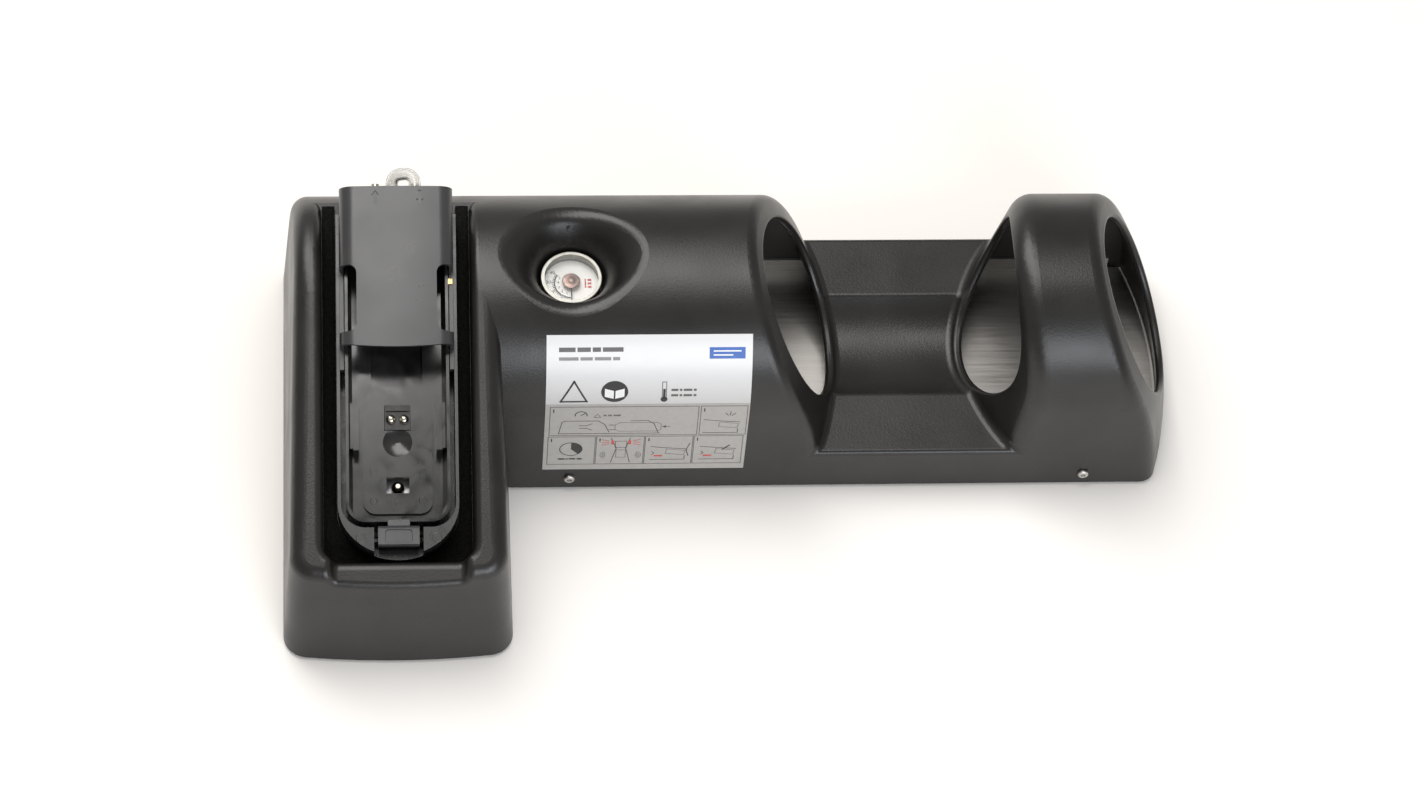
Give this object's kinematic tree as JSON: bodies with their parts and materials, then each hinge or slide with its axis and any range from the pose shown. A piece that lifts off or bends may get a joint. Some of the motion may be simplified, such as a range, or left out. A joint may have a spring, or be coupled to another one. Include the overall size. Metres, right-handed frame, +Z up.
{
  "type": "gas detector bump test station",
  "caption": "Desktop station that test-gases a portable detector: sloping cradle with gas hood and latch, pressure gauge, and an open bay with a ring for a gas cylinder.",
  "frame": {"origin": "bottom centre of the bounding box, on the surface that the feet stand on", "axes": "+X from the detector pod to the cylinder ring, along the cylinder bay; +Y from the front of the pod to the back; +Z up"},
  "size_m": [0.441, 0.2264, 0.1378],
  "materials": {
    "housing": "fine moulded grain",
    "steel_sheet": "matt rolled",
    "stainless": "machined",
    "rubber": "matt",
    "label": "printed foil",
    "gauge_steel": "polished",
    "dial": "printed white",
    "pointer": "satin black",
    "lens": "clear",
    "brass": "machined",
    "nickel_brass": "nickel plated",
    "aluminium": "anodised",
    "cradle": "satin moulded",
    "hood": "satin moulded",
    "latch": "satin moulded",
    "clear_hose": "clear, flexible",
    "spring_steel": "wire",
    "dark_plastic": "moulded"
  },
  "bodies": {
    "station": {"housing_shell": "housing", "base_plate": "steel_sheet", "rubber_feet": "rubber", "foot_screws": "stainless", "housing_screws": "stainless", "instruction_label": "label", "gauge_case": "gauge_steel", "gauge_bezel": "gauge_steel", "gauge_dial": "dial", "gauge_lens": "lens", "gauge_stem": "brass", "regulator_body": "aluminium", "cylinder_connector": "brass", "inlet_seal": "rubber", "regulator_bracket": "steel_sheet", "bracket_screws": "stainless", "outlet_barb": "brass", "valve_body": "aluminium", "valve_cap": "brass", "valve_spring": "spring_steel", "valve_barbs": "brass", "cradle_base": "cradle", "cradle_tub": "cradle", "cradle_screws": "stainless", "contact_block": "dark_plastic", "latch_pin": "spring_steel", "latch_spring": "spring_steel", "wall_contact": "brass", "hood": "hood", "hood_gasket": "rubber", "hood_nipples": "nickel_brass", "hose_loop": "clear_hose", "hose_supply": "clear_hose", "contact_spring_left": "spring_steel", "contact_spring_right": "spring_steel"},
    "gauge_needle": {"gauge_pointer": "pointer"},
    "valve_stem": {"valve_plunger": "nickel_brass"},
    "left_contact": {"contact_pin_left": "nickel_brass"},
    "right_contact": {"contact_pin_right": "nickel_brass"},
    "latch": {"latch_lever": "latch"}
  },
  "joints": [
    {"name": "gauge_pointer_turn", "type": "hinge", "parent": "station", "child": "gauge_needle", "pos_m": [-0.081, 0.04725, 0.088], "axis": [0, 0, 1], "range_deg": [-125, 0]},
    {"name": "valve_plunger_press", "type": "slide", "parent": "station", "child": "valve_stem", "axis": [0, 0.3256, -0.9455], "range_m": [0, 0.003], "stiffness_N_per_m": 900, "springref_m": -0.001, "deforming": ["valve_spring"]},
    {"name": "latch_release", "type": "hinge", "parent": "station", "child": "latch", "pos_m": [-0.1655, -0.07822, 0.05839], "axis": [1, 0, 0], "range_deg": [0, 12], "stiffness_Nm_per_rad": 0.25, "springref_deg": -5.73},
    {"name": "contact_left_press", "type": "slide", "parent": "station", "child": "left_contact", "axis": [0, 0.3256, -0.9455], "range_m": [0, 0.0015], "stiffness_N_per_m": 500, "springref_m": -0.0005, "deforming": ["contact_spring_left"]},
    {"name": "contact_right_press", "type": "slide", "parent": "station", "child": "right_contact", "axis": [0, 0.3256, -0.9455], "range_m": [0, 0.0015], "stiffness_N_per_m": 500, "springref_m": -0.0005, "deforming": ["contact_spring_right"]}
  ]
}
